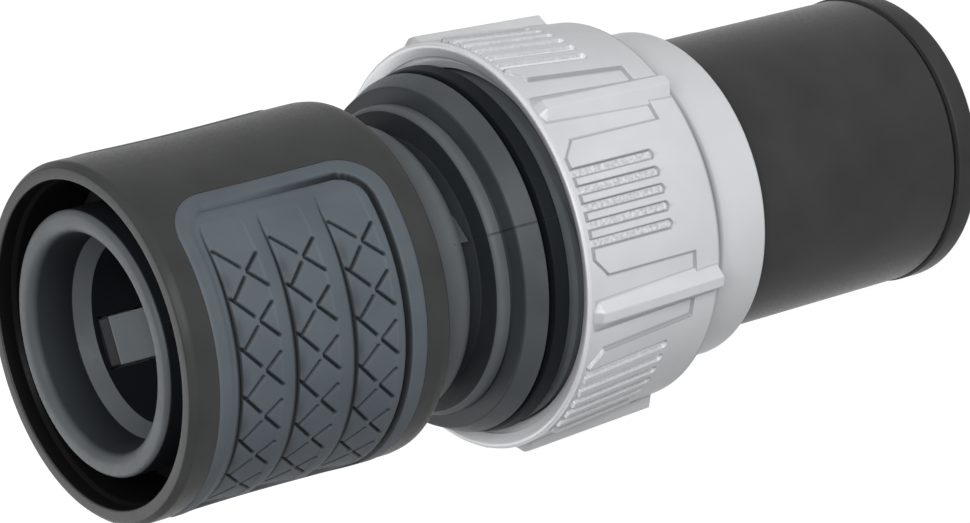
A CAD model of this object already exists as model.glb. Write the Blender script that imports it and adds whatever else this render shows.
"""Looks of a garden hose quick connector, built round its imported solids.

Every section works in millimetres, in three measures: back, the distance behind the collar's rim along the axis;
radius, the distance from the axis; and turn, the angle in degrees round the axis from -Y, where one claw sits.
"""
import math

import bpy
import numpy as np
from mathutils import Matrix, Vector


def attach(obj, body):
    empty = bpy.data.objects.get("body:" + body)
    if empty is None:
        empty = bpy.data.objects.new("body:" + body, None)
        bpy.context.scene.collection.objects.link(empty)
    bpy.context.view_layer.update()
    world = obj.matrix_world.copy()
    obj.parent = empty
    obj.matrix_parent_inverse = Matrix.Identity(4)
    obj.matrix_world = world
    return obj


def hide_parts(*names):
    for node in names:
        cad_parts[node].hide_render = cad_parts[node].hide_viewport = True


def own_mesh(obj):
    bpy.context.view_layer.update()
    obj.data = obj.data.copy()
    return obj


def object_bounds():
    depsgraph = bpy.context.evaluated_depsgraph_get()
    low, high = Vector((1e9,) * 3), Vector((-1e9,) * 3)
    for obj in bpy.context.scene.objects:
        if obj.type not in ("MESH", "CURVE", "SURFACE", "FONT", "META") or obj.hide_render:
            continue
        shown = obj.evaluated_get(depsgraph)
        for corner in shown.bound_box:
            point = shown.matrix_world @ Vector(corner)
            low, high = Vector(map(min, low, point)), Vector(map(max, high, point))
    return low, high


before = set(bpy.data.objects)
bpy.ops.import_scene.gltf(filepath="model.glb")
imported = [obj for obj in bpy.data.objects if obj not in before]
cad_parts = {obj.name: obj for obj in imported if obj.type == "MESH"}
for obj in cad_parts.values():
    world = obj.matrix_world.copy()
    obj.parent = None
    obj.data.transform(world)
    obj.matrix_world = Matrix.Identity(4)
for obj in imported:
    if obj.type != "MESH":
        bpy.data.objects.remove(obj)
cad_low, cad_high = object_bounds()

MM = 0.001
RIM = cad_high.z / MM


# The camera stands where the photograph's stood: a long lens in front of the mouth, rolled so that the axis
# runs from the lower left to the upper right.
camera_data = bpy.data.cameras.new("camera")
camera_data.sensor_width = 36.0
camera_data.lens = 152.54
camera = bpy.data.objects.new("camera", camera_data)
bpy.context.scene.collection.objects.link(camera)
view_forward = Vector((0.01361, 0.81736, -0.57598))
picture_up = Vector((0.96275, -0.16630, -0.21323))
picture_right = view_forward.cross(picture_up)
camera_turn = Matrix((picture_right, picture_up, -view_forward)).transposed().to_4x4()
camera_place = Vector((-6.37, -279.08, RIM + 158.07)) * MM
camera.matrix_world = Matrix.Translation(camera_place) @ camera_turn
bpy.context.scene.camera = camera
bpy.context.scene.view_settings.view_transform = "Standard"


# The floor is a pale sheet under the hose end. It shows white to the camera and to glossy surfaces, and it still
# darkens where the connector shades it.
def shader_of(name):
    """New material and its Principled shader."""
    made = bpy.data.materials.new(name)
    made.use_nodes = True
    return made, made.node_tree.nodes["Principled BSDF"]


def worked(tree, operation, first, second=None):
    """Result of one sum on one or two inputs, each of them a node's output or a plain number."""
    step = tree.nodes.new("ShaderNodeMath")
    step.operation = operation
    for socket, value in zip(step.inputs, (first, second)):
        if isinstance(value, (int, float)):
            socket.default_value = value
        elif value is not None:
            tree.links.new(value, socket)
    return step.outputs[0]


def seen_directly(tree):
    """1 for camera, glossy and transmission rays, 0 for the light that surfaces gather."""
    path = tree.nodes.new("ShaderNodeLightPath")
    either = worked(tree, "MAXIMUM", path.outputs["Is Camera Ray"], path.outputs["Is Glossy Ray"])
    return worked(tree, "MAXIMUM", either, path.outputs["Is Transmission Ray"])


floor_half = 900.0
floor_grey = (0.16, 0.16, 0.16)
floor_glow = 0.9
corners = [(x * floor_half * MM, y * floor_half * MM, 0) for x, y in ((-1, -1), (1, -1), (1, 1), (-1, 1))]
floor_mesh = bpy.data.meshes.new("floor")
floor_mesh.from_pydata(corners, [], [(0, 1, 2, 3)])
floor = bpy.data.objects.new("floor", floor_mesh)
bpy.context.scene.collection.objects.link(floor)
floor_finish, shader = shader_of("floor")
shader.inputs["Base Color"].default_value = (*floor_grey, 1)
shader.inputs["Roughness"].default_value = 0.9
shader.inputs["Emission Color"].default_value = (1, 1, 1, 1)
tree = floor_finish.node_tree
tree.links.new(worked(tree, "MULTIPLY", seen_directly(tree), floor_glow), shader.inputs["Emission Strength"])
floor_mesh.materials.append(floor_finish)


# The backdrop is the world. It is white to the camera, to glossy surfaces and through clear ones, and gives the
# connector only a faint even light.
def between(tree, share, low, high, share_low=0.3, share_high=0.7):
    """Number that runs from low to high as the share runs between its two limits."""
    ramp = tree.nodes.new("ShaderNodeMapRange")
    ramp.inputs["From Min"].default_value = share_low
    ramp.inputs["From Max"].default_value = share_high
    ramp.inputs["To Min"].default_value = low
    ramp.inputs["To Max"].default_value = high
    tree.links.new(share, ramp.inputs["Value"])
    return ramp.outputs["Result"]


gathered_light, seen_light = 0.03, 1.0
world = bpy.data.worlds.new("studio")
bpy.context.scene.world = world
world.use_nodes = True
tree = world.node_tree
sky = tree.nodes["Background"]
sky.inputs["Color"].default_value = (1, 1, 1, 1)
tree.links.new(between(tree, seen_directly(tree), gathered_light, seen_light, 0, 1), sky.inputs["Strength"])


# Four softboxes give plain studio light: a low and a high one on the camera's side, a weak one on the side that is
# up in the picture, and one behind, for the views from there.
def softbox(name, turn, rise, away, width, height, power):
    """Rectangular lamp that faces the connector's middle, from a turn round the axis and a rise over the floor."""
    lamp = bpy.data.lights.new(name, "AREA")
    lamp.shape = "RECTANGLE"
    lamp.size = width * MM
    lamp.size_y = height * MM
    lamp.energy = power
    middle = Vector((0, 0, RIM / 2)) * MM
    level, flat = math.sin(math.radians(rise)), math.cos(math.radians(rise))
    side, front = math.sin(math.radians(turn)), -math.cos(math.radians(turn))
    place = middle + Vector((side * flat, front * flat, level)) * away * MM
    made = bpy.data.objects.new(name, lamp)
    made.location = place
    made.rotation_euler = (middle - place).to_track_quat("-Z", "Y").to_euler()
    made.visible_camera = False
    bpy.context.scene.collection.objects.link(made)


softbox("key_lamp", turn=8, rise=10, away=420, width=240, height=140, power=0.75)
softbox("front_lamp", turn=6, rise=42, away=450, width=160, height=160, power=1.15)
softbox("top_lamp", turn=80, rise=45, away=420, width=300, height=300, power=0.2)
softbox("back_lamp", turn=195, rise=35, away=450, width=350, height=350, power=1.0)


# The socket body is one dark grey moulding: nose and mouth, neck, stepped rings and the threaded boss that the
# union nut turns on. Its two halves of the mould meet in the plane of the claws.
def rounded(corners, steps=5):
    """Closed section of (back, radius, fillet) corners as points.

    A fillet touches both sides at fillet / tan(half the corner's angle) from the corner, but takes no more than
    0.45 of either side. Its points turn about a centre on the bisector by equal shares of the arc.
    """
    place = np.array([complex(back, radius) for back, radius, fillet in corners])
    points = []
    for i, (back, radius, fillet) in enumerate(corners):
        before = place[i - 1] - place[i]
        after = place[(i + 1) % len(place)] - place[i]
        if fillet == 0:
            points.append(place[i : i + 1])
            continue
        half = abs(np.angle(after / before)) / 2
        cut = min(fillet / math.tan(half), 0.45 * abs(before), 0.45 * abs(after))
        start = place[i] + before / abs(before) * cut
        end = place[i] + after / abs(after) * cut
        bisector = before / abs(before) + after / abs(after)
        centre = place[i] + bisector / abs(bisector) * cut / math.cos(half)
        sweep = np.angle((end - centre) / (start - centre))
        points.append(centre + (start - centre) * np.exp(1j * sweep * np.linspace(0, 1, steps + 1)))
    whole = np.concatenate(points)
    return np.stack([whole.real, whole.imag], -1)


sharp_from = 32


def woven(name, points, round_columns=True, crease=sharp_from):
    """Closed skin of four-sided faces over a grid of points in millimetres.

    The rows close on themselves. So do the columns, unless round_columns is false: then each end gets one face.
    Edges are sharp where faces meet at more than crease degrees. A negative volume turns all faces over.
    """
    rows, columns = points.shape[:2]
    number = np.arange(rows * columns).reshape(rows, columns)
    last = columns if round_columns else columns - 1
    here = number[:, :last]
    beside = np.roll(number, -1, axis=1)[:, :last]
    below = np.roll(number, -1, axis=0)[:, :last]
    across = np.roll(np.roll(number, -1, axis=0), -1, axis=1)[:, :last]
    quads = np.stack([here, beside, across, below], -1).reshape(-1, 4)
    flat = points.reshape(-1, 3)
    a, b, c, d = (flat[quads[:, k]] for k in range(4))
    volume = (a * np.cross(b, c)).sum() + (a * np.cross(c, d)).sum()
    ends = [] if round_columns else [number[:, 0], number[::-1, -1]]
    if volume < 0:
        quads = quads[:, ::-1]
    else:
        ends = [end[::-1] for end in ends]
    mesh = bpy.data.meshes.new(name)
    mesh.from_pydata(flat * MM, [], quads.tolist() + [end.tolist() for end in ends])
    mesh.shade_smooth()
    mesh.set_sharp_from_angle(angle=math.radians(crease))
    made = bpy.data.objects.new(name, mesh)
    bpy.context.scene.collection.objects.link(made)
    return made


def around(back, radius, turn):
    """Points in space: (radius sin turn, -radius cos turn, RIM - back), for arrays of one shape."""
    angle = np.radians(turn)
    return np.stack(np.broadcast_arrays(radius * np.sin(angle), -radius * np.cos(angle), RIM - back), -1)


def turned(name, section, columns=288):
    """Ring of a closed (back, radius) section, turned once about the axis."""
    turn = np.linspace(0, 360, columns, endpoint=False)
    return woven(name, around(section[:, :1], section[:, 1:], turn[None]))


def directions(turn):
    """Unit vectors straight outwards and sideways at a turn round the axis."""
    angle = math.radians(turn)
    return np.array([math.sin(angle), -math.cos(angle), 0]), np.array([math.cos(angle), math.sin(angle), 0])


def block(name, back, across, outward, turn):
    """Box between two limits of back, across and outward, on a direction turned from -Y."""
    out, side = directions(turn)
    rows = []
    for i, j in ((0, 0), (1, 0), (1, 1), (0, 1)):
        start = out * outward[j] + side * across[i]
        rows.append([start + [0, 0, RIM - b] for b in back])
    return woven(name, np.array(rows), round_columns=False)


def cut(piece, tool, operation="DIFFERENCE"):
    """Exact Boolean of the tool, applied at once."""
    step = piece.modifiers.new(operation, "BOOLEAN")
    step.operation = operation
    step.solver = "EXACT"
    step.object = tool
    done = piece.evaluated_get(bpy.context.evaluated_depsgraph_get())
    mesh = bpy.data.meshes.new_from_object(done)
    piece.modifiers.clear()
    piece.data = mesh
    mesh.shade_smooth()
    mesh.set_sharp_from_angle(angle=math.radians(sharp_from))
    bpy.data.objects.remove(tool)


def dress(piece, body, finish, slot, *nodes):
    """Gives a piece its finish, its body, its record slot and the solids that it stands for."""
    piece.data.materials.clear()
    piece.data.materials.append(finish)
    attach(piece, body)
    if nodes:
        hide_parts(*nodes)


def speckle(tree, size, detail=2.0):
    """Noise from 0 to 1 in the object's own space, with patches about size millimetres wide."""
    place = tree.nodes.new("ShaderNodeTexCoord")
    noise = tree.nodes.new("ShaderNodeTexNoise")
    noise.inputs["Scale"].default_value = 1 / (size * MM)
    noise.inputs["Detail"].default_value = detail
    tree.links.new(place.outputs["Object"], noise.inputs["Vector"])
    return noise.outputs["Fac"]


def blended(tree, share, first, second):
    """Colour that runs from the first to the second with the share, each a colour or a node's output."""
    mix = tree.nodes.new("ShaderNodeMix")
    mix.data_type = "RGBA"
    colour_a, colour_b, result = mix.inputs[6], mix.inputs[7], mix.outputs[2]
    for socket, colour in zip((colour_a, colour_b), (first, second)):
        if isinstance(colour, tuple):
            socket.default_value = (*colour, 1)
        else:
            tree.links.new(colour, socket)
    tree.links.new(share, mix.inputs[0])
    return result


def raised(tree, height, depth, under=None):
    """Bump of a height map that is depth millimetres deep, over another bump where one is given."""
    bump = tree.nodes.new("ShaderNodeBump")
    bump.inputs["Strength"].default_value = 1.0
    bump.inputs["Distance"].default_value = depth * MM
    tree.links.new(height, bump.inputs["Height"])
    if under:
        tree.links.new(under, bump.inputs["Normal"])
    return bump.outputs["Normal"]


def moulded(name, dark, light, rough, grain=0.35, grain_depth=0.004, wave_depth=0.01, gloss=0.15):
    """Moulded plastic: tone and gloss drift slowly over a fine spark-eroded grain and slight sink marks."""
    patch_size, wave_size = 5.0, 3.0
    made, shader = shader_of(name)
    shader.inputs["Specular IOR Level"].default_value = gloss
    tree = made.node_tree
    patches = speckle(tree, patch_size)
    fine = speckle(tree, grain, 3.0)
    tree.links.new(blended(tree, between(tree, patches, 0, 1), dark, light), shader.inputs["Base Color"])
    tree.links.new(between(tree, fine, *rough), shader.inputs["Roughness"])
    slow = raised(tree, speckle(tree, wave_size, 1.0), wave_depth)
    tree.links.new(raised(tree, fine, grain_depth, slow), shader.inputs["Normal"])
    return made


def marked(tree, name):
    """Share from 0 to 1 that a piece's own mesh carries under a name."""
    mark = tree.nodes.new("ShaderNodeAttribute")
    mark.attribute_name = name
    return mark.outputs["Fac"]


def darkened(finish, colour, dull):
    """Second colour and a duller gloss where a piece's own dark_part attribute runs to 1."""
    tree = finish.node_tree
    shader = tree.nodes["Principled BSDF"]
    part = marked(tree, "dark_part")
    plain = shader.inputs["Base Color"].links[0].from_socket
    tree.links.new(blended(tree, part, plain, colour), shader.inputs["Base Color"])
    gloss = shader.inputs["Specular IOR Level"].default_value
    tree.links.new(between(tree, part, gloss, dull, 0, 1), shader.inputs["Specular IOR Level"])


def mark_dark(piece, share_at):
    """Writes the dark_part attribute on the corners of every face.

    The share comes from the radius and back of the face's middle and the back of the corner itself.
    """
    mesh = piece.data
    middles = np.empty(3 * len(mesh.polygons))
    mesh.polygons.foreach_get("center", middles)
    x, y, z = middles.reshape(-1, 3).T / MM
    sizes = np.empty(len(mesh.polygons), int)
    mesh.polygons.foreach_get("loop_total", sizes)
    number = np.empty(len(mesh.loops), int)
    mesh.loops.foreach_get("vertex_index", number)
    spots = np.empty(3 * len(mesh.vertices))
    mesh.vertices.foreach_get("co", spots)
    corner_back = RIM - spots.reshape(-1, 3)[number, 2] / MM
    face = np.repeat(np.arange(len(mesh.polygons)), sizes)
    share = share_at(np.hypot(x, y)[face], (RIM - z)[face], corner_back)
    dark = mesh.attributes.new("dark_part", "FLOAT", "CORNER")
    dark.data.foreach_set("value", share)


def smooth(low, high, value):
    """0 below low, 1 above high, and a smooth cubic step between."""
    share = np.clip((value - low) / (high - low), 0, 1)
    return share * share * (3 - 2 * share)


def object_axes(tree):
    """X, Y and Z in the object's own space, in metres."""
    place = tree.nodes.new("ShaderNodeTexCoord")
    axes = tree.nodes.new("ShaderNodeSeparateXYZ")
    tree.links.new(place.outputs["Object"], axes.inputs[0])
    return axes.outputs["X"], axes.outputs["Y"], axes.outputs["Z"]


def mould_line(finish, width, depth, start, end, strength):
    """Fine dark seam where the mould's halves met, outside along the plane x = 0 between two distances back.

    The share falls from 1 to 0 between 0.35 of the width and the width, and softly at both ends. Inner walls get
    none.
    """
    tree = finish.node_tree
    shader = tree.nodes["Principled BSDF"]
    inner_wall, outer_wall, soft_end = 9.8, 10.3, 0.4
    grime = (0.02, 0.022, 0.024)
    x, y, z = object_axes(tree)
    line = between(tree, worked(tree, "ABSOLUTE", x), 1, 0, 0.35 * width * MM, width * MM)
    outside = between(tree, worked(tree, "ABSOLUTE", y), 0, 1, inner_wall * MM, outer_wall * MM)
    rear = between(tree, z, 0, 1, (RIM - end) * MM, (RIM - end + soft_end) * MM)
    front = between(tree, z, 1, 0, (RIM - start - soft_end) * MM, (RIM - start) * MM)
    for limit in (outside, rear, front):
        line = worked(tree, "MULTIPLY", line, limit)
    colour = shader.inputs["Base Color"].links[0].from_socket
    seam = blended(tree, between(tree, line, 0, strength, 0, 1), colour, grime)
    tree.links.new(seam, shader.inputs["Base Color"])
    under = shader.inputs["Normal"].links[0].from_socket
    tree.links.new(raised(tree, worked(tree, "SUBTRACT", 1.0, line), depth, under), shader.inputs["Normal"])


nose_radius, mouth_radius, bore_radius = 10.72, 8.9, 7.5
ledge_at, ledge_radius = 22.55, 12.15
neck_at, neck_radius, neck_round = 27.55, 10.75, 1.4
boss_at, boss_end, boss_radius = 35.95, 42.95, 14.7
cup_radius, cup_floor = 12.4, 39.35
head_bore, head_at = 9.0, 25.55
waterway = 5.6
lap = np.linspace(0, math.pi / 2, 9)
neck_edge = [(neck_at + neck_round * math.sin(t), neck_radius + neck_round * math.cos(t), 0) for t in lap]
body_section = rounded(
    [
        # Lip and outside of the nose, the ledge behind it, and the neck's rounded end.
        (0.3, mouth_radius, 0.9),
        (0.3, nose_radius, 0.5),
        (ledge_at, nose_radius, 0),
        (ledge_at, ledge_radius, 0.2),
        *neck_edge,
        # Groove behind the neck, and three rings, each larger than the one before.
        (28.95, 10.6, 0.1),
        (30.55, 10.6, 0.1),
        (30.55, 13.0, 0.6),
        (31.8, 13.0, 0.35),
        (31.8, 12.6, 0.1),
        (32.1, 12.6, 0.1),
        (32.1, 14.3, 0.3),
        (34.0, 15.2, 0.15),
        (34.0, 14.0, 0),
        (34.5, 14.0, 0),
        (34.5, 15.25, 0.2),
        (35.7, 15.5, 0.2),
        # Threaded boss, and the cup in its end that holds the collet.
        (boss_at, 15.1, 0),
        (boss_at, boss_radius, 0),
        (boss_end, boss_radius, 0.4),
        (boss_end, cup_radius, 0),
        (cup_floor, cup_radius, 0),
        # Seat of the spigot's head, the waterway, the bore and the step up to the mouth.
        (cup_floor, head_bore, 0),
        (head_at, head_bore, 0),
        (head_at, waterway, 0),
        (17.5, waterway, 0),
        (17.5, bore_radius, 0),
        (5.3, bore_radius, 0.15),
        (4.0, 8.5, 0.25),
    ]
)
socket = turned("socket_moulding", body_section)
window = (5.65, 11.05)
stem_gap, head_gap, head_seat = 2.2, 3.1, 9.9
for turn in (0, 180):
    cut(socket, block("window", window, (-stem_gap, stem_gap), (4, 12), turn))
    cut(socket, block("flat", window, (-head_gap, head_gap), (head_seat, 13), turn))

# Two small wedges stand on the neck's end, in line with the claws, and fall away to one side.
lug_tip, flank_tip, lug_end = 27.65, 28.55, 29.45
lug_root, lug_angle = 10.3, 12.0
crown = np.array([(lug_tip, lug_root), (lug_end, lug_root), (lug_end, 11.55), (lug_tip, 12.15)])
flank = np.array([(flank_tip, lug_root), (lug_end, lug_root), (lug_end, 10.7), (flank_tip, 11.3)])
for turn in (0, 180):
    lug = np.stack([around(s[:, 0], s[:, 1], t) for s, t in ((crown, turn), (flank, turn + lug_angle))], 1)
    cut(socket, woven("lug", lug, round_columns=False), "UNION")

# Inner and outer radius, front and rear, and share: bore, last ring, middle ring's cone and step, neck's groove.
dark_bands = (
    (0, 7.9, 5.25, 17.6, 1.0),
    (13.9, 16, 33.9, 36, 1.0),
    (13.5, 16, 32.2, 34, 0.3),
    (12.5, 16, 31.5, 32.2, 0.6),
    (0, 12.95, 28.9, 30.6, 0.85),
)


def socket_shade(out, behind, corner_back):
    """The largest share of any dark band, of the mouth's wall and of the nose's outside.

    The last two run from 0 at their front edge to full strength about 1 mm behind it.
    """
    wall = (out > 8.4) & (out < 9.7) & (behind > 0.35) & (behind < 4.05)
    nose = (out > 9.85) & (out < 10.8) & (behind > 0.6) & (behind < 22.5)
    share = np.maximum(0.95 * wall * smooth(0.35, 1.4, corner_back), nose * smooth(0.4, 0.78, corner_back))
    for inner, outer, front, rear, strength in dark_bands:
        band = (out > inner) & (out < outer) & (behind > front) & (behind < rear)
        share = np.maximum(share, strength * band)
    return share


mark_dark(socket, socket_shade)
slate = moulded("slate_moulding", (0.085, 0.095, 0.102), (0.105, 0.117, 0.124), (0.42, 0.55))
dull_gloss = 0.05
darkened(slate, (0.009, 0.011, 0.013), dull_gloss)
mould_line(slate, width=0.11, depth=0.05, start=30.4, end=35.8, strength=0.55)
mould_line(slate, width=0.09, depth=0.03, start=0.6, end=2.6, strength=0.8)
dress(socket, "socket", slate, "slate_moulding", "socket_body")


# The boss of the socket body carries a right-hand thread with a 3 mm pitch, which pulls the nut on. It shows only
# when the nut is unscrewed.
def ribbon(name, centre, across, outward, half_width, height):
    """Ridge of trapezoid section along a path.

    At each station the section is four points: centre plus or minus the half width along across at the root, which
    lies 0.3 mm under the surface, and 0.4 of it at the crest, which stands height along outward.
    """
    root, crest_share = -0.3, 0.4
    places = []
    for share, level in ((-1.0, root), (-crest_share, height), (crest_share, height), (1.0, root)):
        places.append(centre + across * half_width * share + outward * level)
    return woven(name, np.stack(places), round_columns=False)


def helix(back, turn, radius, turns, stations, fade_length):
    """Path of a right-hand thread, its outward directions, and a size that fades in and out at the ends.

    The turn falls by 360 degrees and the distance back grows by the pitch for each turn.
    """
    station = np.linspace(0, 1, stations)[:, None]
    spine = around(back + thread_pitch * turns * station, radius, turn - 360 * turns * station)[:, 0]
    fade = np.clip(np.minimum(station, 1 - station) / fade_length, 0.05, 1)
    return spine, spine * [1, 1, 0] / radius, fade


up = np.array([0, 0, 1.0])
thread_pitch, thread_half = 3.0, 0.75
thread_start, thread_phase = boss_at + 0.9, 16.0
spine, outward, fade = helix(thread_start, thread_phase, boss_radius, 1.9, 300, 0.04)
thread = ribbon("boss_thread", spine, up, outward, thread_half * fade, 0.42 * fade)
dress(thread, "socket", slate, "slate_moulding")


# Two locking claws sit in windows of the nose. Each is a small smooth moulding with a bevelled tooth inside and a
# wide crowned head outside, which the collar's cam holds down.
claw_start, claw_end = 5.85, 10.85
tooth_radius, tooth_bevel, bevel_length = 7.0, 0.55, 0.7
crown_top, cam_slope = 11.8, 0.18
stem_half, head_half, head_low = 2.0, 2.9, 10.1
claw_grey = moulded("claw_moulding", (0.19, 0.212, 0.230), (0.22, 0.243, 0.262), (0.36, 0.46), 0.5, 0.002, 0.006)
darkened(claw_grey, (0.03, 0.033, 0.037), dull_gloss)
arch = np.linspace(-head_half, head_half, 9)
across = np.concatenate([[-stem_half, -stem_half, -head_half], arch, [head_half, stem_half, stem_half]])
tooth = (
    (claw_start, tooth_radius + tooth_bevel),
    (claw_start + bevel_length, tooth_radius),
    (claw_end, tooth_radius),
)
for letter, turn in (("a", 0), ("b", 180)):
    out, side = directions(turn)
    rows = []
    for back, inner in tooth:
        crown_radius = crown_top - cam_slope * (back - claw_start)
        outer = np.sqrt(crown_radius**2 - arch**2)
        height = np.concatenate([[inner, head_low, head_low], outer, [head_low, head_low, inner]])
        rows.append(height[:, None] * out + across[:, None] * side + [0, 0, RIM - back])
    claw = woven("claw_" + letter, np.stack(rows, 1), round_columns=False)
    mark_dark(claw, lambda out, behind, corner_back: 1.0 * (behind < claw_start + 0.6))
    edge = claw.modifiers.new("edges", "BEVEL")
    edge.width = 0.12 * MM
    edge.segments = 2
    edge.limit_method = "ANGLE"
    dress(claw, "claw_" + letter, claw_grey, "claw_moulding", "locking_claw_" + letter)


# The collar spring is bright drawn wire round the socket's nose, with its end turns closed flat. It stands between
# the collar's cam ring and a plain steel washer on the ledge.
def bare_metal(name, dark, light, rough, mark_size):
    """Bare metal whose tone and gloss drift together with the marks of drawing or turning."""
    made, shader = shader_of(name)
    tree = made.node_tree
    shader.inputs["Metallic"].default_value = 1.0
    marks = speckle(tree, mark_size)
    tree.links.new(blended(tree, marks, dark, light), shader.inputs["Base Color"])
    tree.links.new(between(tree, marks, *rough), shader.inputs["Roughness"])
    return made


def refinish(node, finish):
    """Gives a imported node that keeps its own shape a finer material."""
    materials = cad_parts[node].data.materials
    materials.clear()
    materials.append(finish)


steel = bare_metal("spring_steel", (0.50, 0.50, 0.51), (0.62, 0.62, 0.63), (0.25, 0.4), 0.6)
wire_radius, coil_radius = 0.4, 12.0
coil_top, coil_low, coil_turns = 12.85, 21.55, 3.5
closed_end = 0.06
station = np.linspace(0, 1, 260)
run = np.clip((station - closed_end) / (1 - 2 * closed_end), 0, 1)
# The climb is 0.65 of an even one and 0.35 of a cosine one, which is gentler at the ends.
climb = 0.65 * run + 0.35 * (0.5 - 0.5 * np.cos(np.pi * run))
coil_back = coil_low - wire_radius - (coil_low - coil_top - 2 * wire_radius) * climb
coil_angle = 360 * coil_turns * station + 90
lap = np.radians(np.arange(0, 360, 30))[:, None]
wire_back = coil_back[None] + wire_radius * np.sin(lap)
wire = around(wire_back, coil_radius + wire_radius * np.cos(lap), coil_angle[None])
spring = woven("collar_coil", wire, round_columns=False)
dress(spring, "socket", steel, "spring_steel", "collar_spring")
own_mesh(spring)
refinish("spring_washer", steel)


# The release collar is a near-black moulded sleeve, slightly waisted, with a broad plain rim. Its cam ring inside
# is part of the same moulding.
collar_length = 24.6
waist, waist_radius = 9.84, 14.5
rim_flare, tail_flare = 0.13, 0.24
collar_inside = 12.95


def collar_radius(back):
    """Waisted outside: a square law from the rim to the waist, then a smooth step up to the tail."""
    flare = rim_flare * (np.clip(waist - back, 0, None) / waist) ** 2
    return waist_radius + flare + tail_flare * smooth(waist, collar_length, back)


rim_part = rounded(
    [
        # Inside from the tail to the cam ring, the ring with its sloped cam, and the inside up to the rim.
        (collar_length, collar_inside, 0),
        (23.8, collar_inside, 0),
        (12.55, collar_inside, 0),
        (12.55, 11.07, 0.1),
        (11.15, 11.07, 0.1),
        (7.55, 11.69, 0.1),
        (6.95, collar_inside, 0),
        # Rim with its shallow step inside.
        (1.7, collar_inside, 0.3),
        (1.28, 13.2, 0.2),
        (0, 13.2, 0.12),
        (0, 14.15, 0.2),
        (0.55, 14.6, 0.5),
    ]
)
wall_back = np.linspace(1.5, collar_length - 1.2, 24)
wall = np.stack([wall_back, collar_radius(wall_back)], -1)
tail_part = rounded(
    [(collar_length - 1.0, 14.73, 0), (collar_length - 0.25, 14.62, 0.5), (collar_length, 14.2, 0.1)]
)
collar = turned("collar_sleeve", np.concatenate([rim_part, wall, tail_part]))

pad_start, pad_length, pad_half, pad_corner = 2.5, 19.6, 68.0, 4.0
pad_middle = -30.5
pad_bed = 13.8
# Millimetres of arc in one degree on the collar.
degree = math.radians(waist_radius)


def pad_edges(inset, corner_steps=10, straight_steps=40):
    """Stations round the collar from one end of a pad to the other: angle, and the front and rear edge there.

    The outline is a rectangle wrapped on the collar, pad_half each way, with quarter-circle corners.
    """
    corner = pad_corner - inset
    reach = pad_half * degree - inset
    lap = np.linspace(0, math.pi / 2, corner_steps + 1)
    ends = np.stack([reach - corner + corner * np.cos(lap), corner - corner * np.sin(lap)], -1)
    middle = np.linspace(reach - corner, corner - reach, straight_steps + 1)[1:-1]
    along = np.concatenate([ends[:, 0], middle, -ends[::-1, 0]])
    drop = np.concatenate([ends[:, 1], 0 * middle, ends[::-1, 1]])
    return along / degree, pad_start + inset + drop, pad_start + pad_length - inset - drop


recess_floor, clear_of_wall = pad_bed - 0.15, 17.0
for turn in (0, 180):
    angle, front, rear = pad_edges(0.0)
    levels = ((front, recess_floor), (rear, recess_floor), (rear, clear_of_wall), (front, clear_of_wall))
    ring = [around(edge, level, angle + pad_middle + turn) for edge, level in levels]
    cut(collar, woven("recess", np.stack(ring), round_columns=False))

black = moulded(
    "black_nylon", (0.038, 0.039, 0.039), (0.050, 0.051, 0.051), (0.33, 0.45), 0.25, 0.003, gloss=0.1
)
darkened(black, (0.006, 0.006, 0.006), dull_gloss)
mark_dark(collar, lambda out, behind, corner_back: 1.0 * ((out < 13.5) & (behind > 0.3) & (behind < 24.5)))
dress(collar, "collar", black, "black_nylon", "release_collar")


# Two soft grip pads are moulded into the collar's recesses: a smooth border round three bands. Each band starts at
# a deep crease, ramps up under a row of crossed grooves, and ends in a plain strip. Dirt darkens the creases.
def segment_distance(x, y, start, end):
    """Distance of each point from a straight line between two points.

    The nearest point lies at the run's dot product with the way from the start, over the run's square, kept
    between 0 and 1.
    """
    run = np.subtract(end, start)
    share = np.clip(((x - start[0]) * run[0] + (y - start[1]) * run[1]) / (run @ run), 0, 1)
    return np.hypot(x - start[0] - share * run[0], y - start[1] - share * run[1])


def rectangle_depth(x, y, low, high, half, corner):
    """Distance inside a rectangle with round corners, from low to high along x and half each way along y.

    Outside the corners' centres it is the corner's radius less the distance to the nearest centre, and elsewhere
    the way to the nearest side.
    """
    middle, reach = (low + high) / 2, (high - low) / 2
    over_x = np.abs(x - middle) - (reach - corner)
    over_y = np.abs(y) - (half - corner)
    outside = np.hypot(np.clip(over_x, 0, None), np.clip(over_y, 0, None))
    return corner - outside - np.minimum(np.maximum(over_x, over_y), 0)


def bell(value, width):
    """Bell curve: e to the power of minus the square of the value over the width."""
    return np.exp(-((value / width) ** 2))


crease_at = (4.65, 9.95, 15.45, 20.3)
patch_length, patch_half = 3.85, 55.5
border_rise, roll_width, roll_drop = 0.08, 0.35, 0.16
inner_at, inner_half, inner_corner, inner_drop = 3.9, 61.7, 2.6, 0.12
ramp_low, ramp_gain = 0.30, 0.24
crease_drop = 0.42
cross_pitch, cross_back, cross_count = 15.75, 2.3, 6
cross_width, cross_drop = 0.17, 0.28
arms = (
    ((-1.95, 2.08), (-0.30, 0.30)),
    ((0.20, -0.25), (1.55, -1.60)),
    ((-1.65, -2.15), (-0.20, -0.58)),
    ((0.20, -0.08), (1.45, 1.06)),
)


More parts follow.
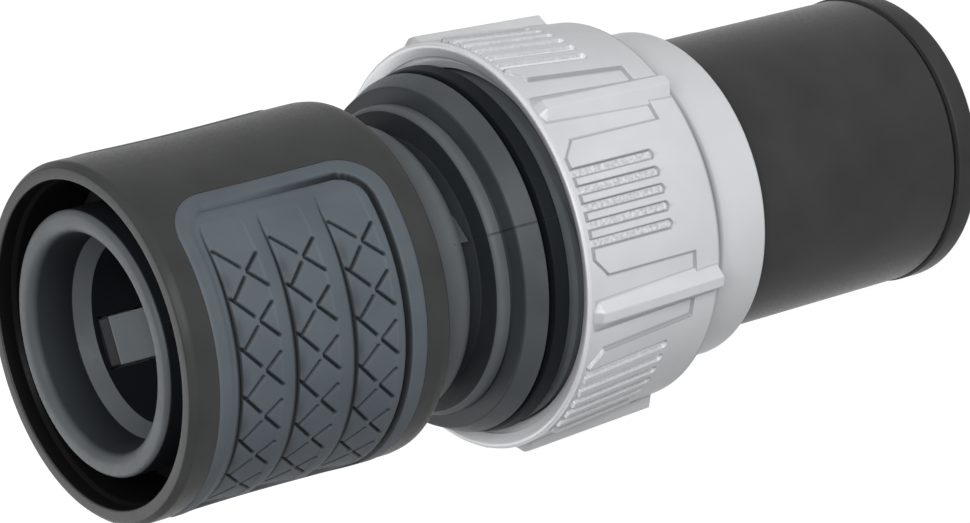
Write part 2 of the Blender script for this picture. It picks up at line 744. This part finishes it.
def border_relief(back, along):
    """Height and darkness of the border, of the sunk middle, and of the crease between them.

    The border rolls down at its edge by a quarter circle. The crease gets wider and deeper towards the rear.
    """
    depth = rectangle_depth(back, along, pad_start, pad_start + pad_length, pad_half * degree, pad_corner)
    roll = np.clip(1 - depth / roll_width, 0, 0.999)
    height = border_rise - roll_drop * (1 - np.sqrt(1 - roll**2))
    inner = rectangle_depth(back, along, inner_at, crease_at[-1], inner_half * degree, inner_corner)
    height = height - inner_drop * smooth(-0.35, 0.15, inner)
    rear = smooth(6.0, 19.3, back) ** 1.5
    side = smooth(0, 1.2, back - 4.6)
    height = height - (0.16 + 0.30 * rear) * bell(inner, 0.15 + 0.04 * rear) * side
    edge = 1 - smooth(0.08 + 0.14 * rear, 0.2 + 0.15 * rear, np.abs(inner))
    return height, (0.3 + 0.7 * rear) * side * edge


def band_relief(into, along):
    """How far a band sinks, and its darkness, at a distance behind its crease.

    The band is a ramp that ends in a step. The crease is a bell curve, narrow behind, and in front three quarters
    narrow and one quarter wide. Soft shadows lie behind it between the crossings.
    """
    reach = patch_half * degree - np.abs(along)
    before, behind = np.clip(-into, 0, None), np.clip(into, 0, None)
    inside = smooth(-0.05, 0.2, reach) * smooth(0.0, 0.12, into) * smooth(0.0, 0.12, patch_length - into)
    drop = inside * (ramp_low - ramp_gain * np.clip(into / patch_length, 0, 1))
    share = smooth(-0.1, 2.2, reach)
    drop = drop + crease_drop * share * bell(behind, 0.17) * (0.75 * bell(before, 0.10) + 0.25 * bell(before, 0.5))
    wide = 0.10 + 0.15 * smooth(0.5, 9, reach)
    line = share * (1 - smooth(wide, wide + 0.16, np.abs(into + 0.03)))
    beat = 0.5 + 0.5 * np.cos(2 * np.pi * (along / (cross_pitch * degree) - 0.36))
    shadow = 0.42 * beat * smooth(2, 5, reach) * bell(behind - 0.3, 0.5) * (into > 0)
    return drop, np.maximum(line, shadow)


def pad_relief(back, turn):
    """Height over the collar's own surface, and 0 to 1 for how far into a crease or groove a point lies."""
    along = turn * degree
    height, deep = border_relief(back, along)
    for line in crease_at[:3]:
        drop, dark = band_relief(back - line, along)
        height, deep = height - drop, np.maximum(deep, dark)
        for k in range(cross_count):
            centre = ((cross_count - 1) / 2 - k) * cross_pitch * degree
            for start, end in arms:
                far = segment_distance(back - line - cross_back, along - centre, start, end)
                height = height - cross_drop * np.clip(1 - far / cross_width, 0, 1)
                deep = np.maximum(deep, 0.95 * (1 - smooth(0.09, 0.2, far)))
    return height, deep


def filled(marks, step):
    """Marks with even steps between them, none longer than step."""
    marks = np.sort(np.asarray(marks, float))
    runs = [np.linspace(a, b, max(2, int(math.ceil((b - a) / step)) + 1))[:-1] for a, b in zip(marks, marks[1:])]
    return np.concatenate(runs + [marks[-1:]])


seam = 0.04
line_marks = [line + shift for line in crease_at for shift in (-0.15, 0.0, 0.15)]
edge_marks = [pad_start + seam, pad_start + 0.4, 21.7, pad_start + pad_length - seam]
rows = filled(edge_marks + line_marks, 0.11)
share = (rows - rows[0]) / (rows[-1] - rows[0])
angle, front, rear = pad_edges(seam, 20, 300)
back = front[None] + share[:, None] * (rear - front)[None]
height, deep = pad_relief(back, angle[None])
soft_grip = moulded("soft_grip", (0.088, 0.104, 0.120), (0.104, 0.121, 0.138), (0.50, 0.62), 0.2, 0.003, 0.008)
tree = soft_grip.node_tree
shader = tree.nodes["Principled BSDF"]
plain = shader.inputs["Base Color"].links[0].from_socket
worn_in = between(tree, marked(tree, "crease_depth"), 0, 0.95, 0, 1)
tree.links.new(blended(tree, worn_in, plain, (0.008, 0.009, 0.010)), shader.inputs["Base Color"])
for letter, turn in (("a", 0), ("b", 180)):
    place = angle + pad_middle + turn
    face = around(back, collar_radius(back) + height, place[None])
    under = around(back[[-1, 0]], pad_bed + 0 * back[[-1, 0]], place[None])
    pad = woven("pad_" + letter, np.concatenate([face, under]), round_columns=False, crease=50)
    shade = pad.data.attributes.new("crease_depth", "FLOAT", "POINT")
    shade.data.foreach_set("value", np.concatenate([deep, 0 * back[[-1, 0]]]).ravel())
    dress(pad, "collar", soft_grip, "soft_grip", "grip_pad_" + letter)


# The hose spigot is a turned brass tube, pressed into the socket body: a plain head with a groove for its seal
# ring, and a tail of six saw-tooth barbs that the hose is pushed over.
brass = bare_metal("brass", (0.62, 0.45, 0.20), (0.74, 0.56, 0.28), (0.22, 0.38), 1.5)
head_radius, root_radius, barb_radius = 8.7, 7.3, 7.9
spigot_front, spigot_end = 25.85, cup_floor + 33.0
barb_count, barb_pitch = 6, 5.0
groove_at, groove_end, groove_floor = 31.35, 33.59, 7.32
spigot_section = [
    (spigot_front, waterway, 0),
    (spigot_front, head_radius, 0.3),
    (groove_at, head_radius, 0),
    (groove_at, groove_floor, 0),
    (groove_end, groove_floor, 0),
    (groove_end, head_radius, 0),
    (cup_floor - 0.3, head_radius, 0.2),
    (cup_floor - 0.3, root_radius, 0),
]
for k in range(barb_count):
    barb_at = spigot_end - 2 - (barb_count - k) * barb_pitch + 0.5 * barb_pitch
    spigot_section += [
        (barb_at, root_radius, 0.1),
        (barb_at + 0.2, barb_radius, 0.08),
        (barb_at + 0.9 * barb_pitch, root_radius, 0),
    ]
spigot_section += [(spigot_end, waterway, 0.15)]
spigot = turned("barbed_spigot", rounded(spigot_section, 3), 144)
dress(spigot, "socket", brass, "brass", "hose_spigot")


# The seal ring is a black rubber ring of round section. It sits in the spigot's groove and is squeezed against the
# socket body's bore.
rubber = moulded("seal_rubber", (0.018, 0.018, 0.019), (0.028, 0.028, 0.029), (0.55, 0.7), 0.3, 0.004, 0.004)
seal_back, seal_radius, seal_half = 32.47, 8.16, 0.7
lap = np.radians(np.arange(0, 360, 20))
ring = np.stack([seal_back + seal_half * np.cos(lap), seal_radius + seal_half * np.sin(lap)], -1)
dress(turned("spigot_ring", ring, 144), "socket", rubber, "seal_rubber", "spigot_seal")


# The collet is a white acetal ring, coned at its rear half and slotted from there, so that it closes on the hose.
# The thrust ring behind it and the washer on the sleeve's flange are plain rings of the same plastic.
acetal = moulded("natural_acetal", (0.72, 0.71, 0.67), (0.80, 0.79, 0.75), (0.38, 0.5), 0.5, 0.003, 0.006)
refinish("thrust_ring", acetal)
refinish("flange_washer", acetal)
collet_at, cone_at, collet_end = 40.55, 44.15, 49.55
collet_inside, collet_radius = 10.9, 12.1
slot_at, slot_half, slot_count = 42.71, 0.6, 8
collet_section = rounded(
    [
        (collet_at, collet_inside, 0.2),
        (collet_at, collet_radius, 0.2),
        (cone_at, collet_radius, 0),
        (collet_end, 11.5, 0.2),
        (collet_end, collet_inside, 0.2),
    ],
    3,
)
collet = turned("clamping_collet", collet_section, 144)
for k in range(slot_count):
    cut(collet, block("slot", (slot_at, 51), (-slot_half, slot_half), (9, 14), 360 / slot_count * (k + 0.5)))
dress(collet, "socket", acetal, "natural_acetal", "hose_collet")


# The union nut is satin silver, tapered to the rear. Six trapezoid ridges part six panels, and each panel has wide
# and narrow fingers that stand out of a sunk, rough-cast floor.
nut_at, nut_end = 36.35, 51.15
nut_front_radius, nut_taper = 17.5, 1.3
panel_count = 6
half_panel = 180 / panel_count
tips = nut_at + 0.7
comb_depth, bevel = 0.28, 0.08
groove_pitch, groove_half, groove_rear = 1.46, 0.375, tips + 8.9
finger_half, finger_chamfer = 5.6, 1.35
pocket_rear = tips + 11.1
foot, crest = 1.45, 0.42
ridge_front, ridge_rear, ridge_nose = nut_at + 0.35, nut_end - 0.6, 0.8
ridge_height, ridge_growth = 0.42, 0.58
flank_root, buried = 0.35, 0.6
fold_back = 44.0


def nut_radius(back):
    """Straight taper of the panels' raised level, from the front radius down by nut_taper at the rear."""
    return nut_front_radius - nut_taper * (back - nut_at) / (nut_end - nut_at)


def sunk_shares(across, back, grooves, groove_line):
    """Three shares from the distance inside each outline: the sunk floor, the grooves alone and the steps' lines.

    The sunk floor is the largest of three outlines: ahead of the fingers' tips, beside the wide fingers with their
    chamfers as far as pocket_rear, and in the round-ended grooves.
    The lines along the grooves and at the fronts of the fingers between them are as strong as groove_line.
    """
    ahead = tips - back
    wide = np.abs(across) - finger_half
    corner = (np.abs(across) - (back - tips) - (finger_half - finger_chamfer)) / math.sqrt(2)
    pocket = np.minimum(np.maximum(wide, corner), pocket_rear - back)
    past = np.clip(back - (groove_rear - groove_half), 0, None)
    slot = np.full(np.broadcast(across, back).shape, -1.0)
    for centre in grooves:
        slot = np.maximum(slot, groove_half - np.hypot(across - centre, past))
    inside = np.maximum(np.maximum(ahead, pocket), slot)
    among = np.abs(across) < np.abs(grooves).max() + groove_half
    line = (1 - smooth(0.03, 0.12, np.abs(inside))) * np.where(among, groove_line, 1)
    return smooth(-bevel / 2, bevel / 2, inside), smooth(0, 0.1, np.minimum(slot, back - tips)), line


def ridge_level(off, back):
    """Radius of a ridge's surface at a distance off its middle, and 0 past its foot.

    Straight flanks run up to a flat crest, which grows by ridge_growth towards the rear. The front end slopes over
    ridge_nose, and both ends drop to under the skin.
    """
    flank = np.clip((foot - np.abs(off)) / (foot - crest), 0, 1)
    share = np.clip((back - ridge_front) / ridge_nose, 0, 1)
    length = np.clip((back - ridge_front - ridge_nose) / (ridge_rear - ridge_front - ridge_nose), 0, 1)
    top = ridge_height + ridge_growth * length - (0.8 + 0.45 * (1 - flank)) * (1 - share)
    ends = smooth(ridge_front - 0.02, ridge_front + 0.05, back) * smooth(ridge_rear + 0.1, ridge_rear, back)
    rise = (flank_root + top) * flank - flank_root
    return np.where(np.abs(off) < foot, nut_radius(back) - buried + (rise + buried) * ends, 0)


comb_start, comb_front = tips + bevel / 2, tips + finger_chamfer + 0.1
groove_round, groove_stop = groove_rear - groove_half - 0.1, groove_rear + 0.08
nut_rows = (
    ((nut_at + 0.25, ridge_front - 0.02, ridge_front + 0.05, tips - bevel / 2, comb_start), 0.12),
    ((comb_start, comb_front), 0.065),
    ((comb_front, groove_round), 0.6),
    ((groove_round, groove_stop), 0.05),
    ((groove_stop, pocket_rear - 0.14, pocket_rear - bevel / 2), 0.5),
    ((pocket_rear + bevel / 2, pocket_rear + 0.14, ridge_rear - 0.02), 0.5),
    ((ridge_rear, ridge_rear + 0.1, nut_end - 0.25), 0.2),
)
back = np.unique(np.concatenate([filled(marks, step) for marks, step in nut_rows]))[:, None]
level = nut_radius(back)
ridge_marks = filled([0, crest - 0.05, crest + 0.05, foot - 0.05, foot + 0.05], 0.11)[::-1]
ridge_turn = half_panel - np.degrees(np.arcsin(ridge_marks[None] / level))
gap_share = np.linspace(0, 1, 7)[None, 1:-1]
panels = []
for k in range(panel_count):
    # Panels have five and six grooves by turns. The six are rougher and paler inside, and have fainter lines.
    grooves = (np.arange(5 + k % 2) - (4 + k % 2) / 2) * groove_pitch
    fine_cast, groove_line = (1.0, 0.3) if k % 2 else (0.5, 1.0)
    edges = np.concatenate([grooves - groove_half, grooves + groove_half, [finger_half]])
    marks = np.concatenate([[0, finger_half - finger_chamfer], edges - bevel / 2, edges + bevel / 2])
    core_turn = np.degrees(np.arcsin(filled(np.unique(marks[marks >= 0].round(4)), 0.12)[None] / level))
    gap_turn = core_turn[:, -1:] + (ridge_turn[:, :1] - core_turn[:, -1:]) * gap_share
    half = np.concatenate([core_turn, gap_turn, ridge_turn], 1)
    turn = np.concatenate([-half[:, :0:-1], half], 1)[:, :-1]
    sunk, groove, line = sunk_shares(level * np.sin(np.radians(turn)), back, grooves, groove_line)
    skin = level - comb_depth * sunk
    ridge = ridge_level(level * np.sin(np.radians(half_panel - np.abs(turn))), back)
    shown = np.where(ridge > skin, 0, 1)
    foot_line = 0.7 * (1 - smooth(0.02, 0.11, np.abs(ridge - skin)))
    facet = 0.55 * (1 - shown) * (1 - smooth(ridge_front + 0.7, ridge_front + 0.9, back))
    line = np.maximum(np.maximum(shown * line, foot_line), facet)
    panels.append(np.stack([np.maximum(skin, ridge), turn + 2 * half_panel * k, fine_cast * shown * groove, line]))
radius, outer_turn, groove_mask, line_mask = np.concatenate(panels, 2)
line_mask = np.maximum(line_mask, smooth(nut_end - 0.5, nut_end - 0.25, back))
outer = around(back, radius, outer_turn)

nut_bore = 15.3
nut_inside = rounded(
    [
        # Rear end, the smaller bore round the sleeve, and the threaded bore.
        (nut_end - 0.05, 16.0, 0.1),
        (nut_end, 14.4, 0.12),
        (44.15, 14.4, 0),
        (43.65, nut_bore, 0),
        # Front end with its bevelled and stepped lip.
        (nut_at + 1.1, nut_bore, 0.1),
        (nut_at + 0.65, 15.95, 0.05),
        (nut_at + 0.45, 15.95, 0.1),
        (nut_at + 0.05, 16.75, 0.15),
        (nut_at, 17.05, 0.15),
    ],
    4,
)
inside_back, inside_radius = nut_inside[:, :1], nut_inside[:, 1:]
# The columns of the inside follow the outer rear row behind the fold and the outer front row before it.
inner = around(inside_back, inside_radius, np.where(inside_back > fold_back, outer_turn[-1:], outer_turn[:1]))
nut = woven("nut_shell", np.concatenate([outer, inner]), crease=25)
rear_face = np.broadcast_to(inside_back > nut_end - 0.5, inner.shape[:2])
masks = (("rough_groove", groove_mask, 0 * rear_face), ("edge_line", line_mask, rear_face))
for name, outer_share, inner_share in masks:
    mask = nut.data.attributes.new(name, "FLOAT", "POINT")
    mask.data.foreach_set("value", np.concatenate([outer_share.ravel(), inner_share.ravel()]).astype(float))


def silver_lacquer(name):
    """Silver finish that is mostly pigment, with a faint metal gloss."""
    made, shader = shader_of(name)
    shader.inputs["Metallic"].default_value = 0.1
    shader.inputs["Specular IOR Level"].default_value = 0.2
    return made, shader, made.node_tree


silver, shader, tree = silver_lacquer("satin_silver")
fine, haze = speckle(tree, 0.30, 3.0), speckle(tree, 6.0)
cast = marked(tree, "rough_groove")
any_cast = between(tree, cast, 0, 1, 0, 0.5)
satin = blended(tree, between(tree, haze, 0, 1), (0.66, 0.67, 0.69), (0.72, 0.73, 0.75))
rough_cast = blended(tree, between(tree, fine, 0, 1), (0.50, 0.50, 0.52), (0.80, 0.80, 0.82))
pale_cast = blended(tree, between(tree, cast, 0, 1, 0.5, 1), rough_cast, (0.94, 0.94, 0.96))
surface = blended(tree, any_cast, satin, pale_cast)
lined = between(tree, marked(tree, "edge_line"), 0, 0.65, 0, 1)
tree.links.new(blended(tree, lined, surface, (0.20, 0.20, 0.21)), shader.inputs["Base Color"])
tree.links.new(between(tree, any_cast, 0.38, 0.62, 0, 1), shader.inputs["Roughness"])
grain = worked(tree, "MULTIPLY", fine, between(tree, any_cast, 0.06, 1.0, 0, 1))
tree.links.new(raised(tree, grain, 0.025), shader.inputs["Normal"])
dress(nut, "nut", silver, "satin_aluminium", "union_nut")

# The thread inside the nut is half a pitch off the boss's, so that the two mesh.
nut_phase = 102.0
nut_start = thread_start + thread_pitch * (0.5 + (thread_phase - nut_phase) / 360)
spine, outward, fade = helix(nut_start, nut_phase, nut_bore, 1.6, 240, 0.02)
thread = ribbon("nut_thread", spine, up, -outward, thread_half * fade, 0.38 * fade)
dress(thread, "nut", silver, "satin_aluminium")


# The trim ring is a smooth ring in the same satin silver, pressed into the back of the nut. Its front lies in the
# shade of the joint between the two.
trim_at, trim_end, trim_radius, trim_inside = 47.75, 57.85, 14.18, 13.02
joint_front, joint_rear = 52.5, 53.2
ring_silver, shader, tree = silver_lacquer("trim_silver")
haze = speckle(tree, 6.0)
bright = blended(tree, haze, (0.66, 0.67, 0.69), (0.74, 0.75, 0.77))
x, y, z = object_axes(tree)
joint_shade = between(tree, z, 0, 0.85, (RIM - joint_rear) * MM, (RIM - joint_front) * MM)
tree.links.new(blended(tree, joint_shade, bright, (0.14, 0.14, 0.15)), shader.inputs["Base Color"])
tree.links.new(between(tree, haze, 0.32, 0.42), shader.inputs["Roughness"])
trim_section = rounded(
    [
        (trim_at, trim_inside, 0),
        (trim_at, trim_radius, 0.1),
        (trim_end, trim_radius, 0.35),
        (trim_end, trim_inside, 0.2),
    ]
)
dress(turned("trim_band", trim_section), "nut", ring_silver, "satin_aluminium", "trim_ring")


# The hose sleeve is a long plain black moulding over the hose. Its flange stays inside the nut, and its thin neck
# at the rear carries the end ring.
sleeve_black = moulded(
    "sleeve_nylon", (0.042, 0.042, 0.043), (0.052, 0.052, 0.053), (0.30, 0.40), 0.3, 0.002, 0.006, 0.08
)
flange_at, flange_end, flange_radius = 44.85, 46.85, 14.05
sleeve_end, sleeve_neck_end = 80.95, 82.0
sleeve_radius, neck_outside, hose_way = 12.72, 12.02, 11.2
sleeve_section = rounded(
    [
        (flange_at, 12.4, 0),
        (flange_at, flange_radius, 0.2),
        (flange_end, flange_radius, 0.2),
        (flange_end, sleeve_radius, 0),
        (sleeve_end, sleeve_radius, 0.2),
        (sleeve_end, neck_outside, 0),
        (sleeve_neck_end, neck_outside, 0),
        (sleeve_neck_end, hose_way, 0),
        (49.85, hose_way, 0),
        (49.85, 11.8, 0),
    ]
)
dress(turned("sleeve_tube", sleeve_section), "tail", sleeve_black, "black_nylon", "hose_sleeve")


# The end ring is a black moulding pressed on the sleeve's neck, with a fine groove before it. It keeps in the
# wiper, a thin rubber ring that the hose passes through.
end_at, end_back, lip_at = 81.4, RIM, RIM - 0.7
end_inside, end_radius = 12.32, 12.87
end_section = rounded(
    [
        (end_at, end_inside, 0),
        (end_at, end_radius, 0.16),
        (end_back, end_radius, 0.28),
        (end_back, hose_way, 0.15),
        (lip_at, hose_way, 0),
        (lip_at, end_inside, 0),
    ]
)
dress(turned("end_cap_ring", end_section), "tail", sleeve_black, "black_nylon", "end_ring")

wiper_at, wiper_end, wiper_inside, wiper_radius = 82.2, 82.65, 10.8, 12.02
wiper_section = rounded(
    [
        (wiper_at, wiper_inside, 0.15),
        (wiper_at, wiper_radius, 0),
        (wiper_end, wiper_radius, 0),
        (wiper_end, wiper_inside, 0.15),
    ],
    3,
)
dress(turned("soft_wiper", wiper_section, 144), "tail", rubber, "seal_rubber", "hose_wiper")
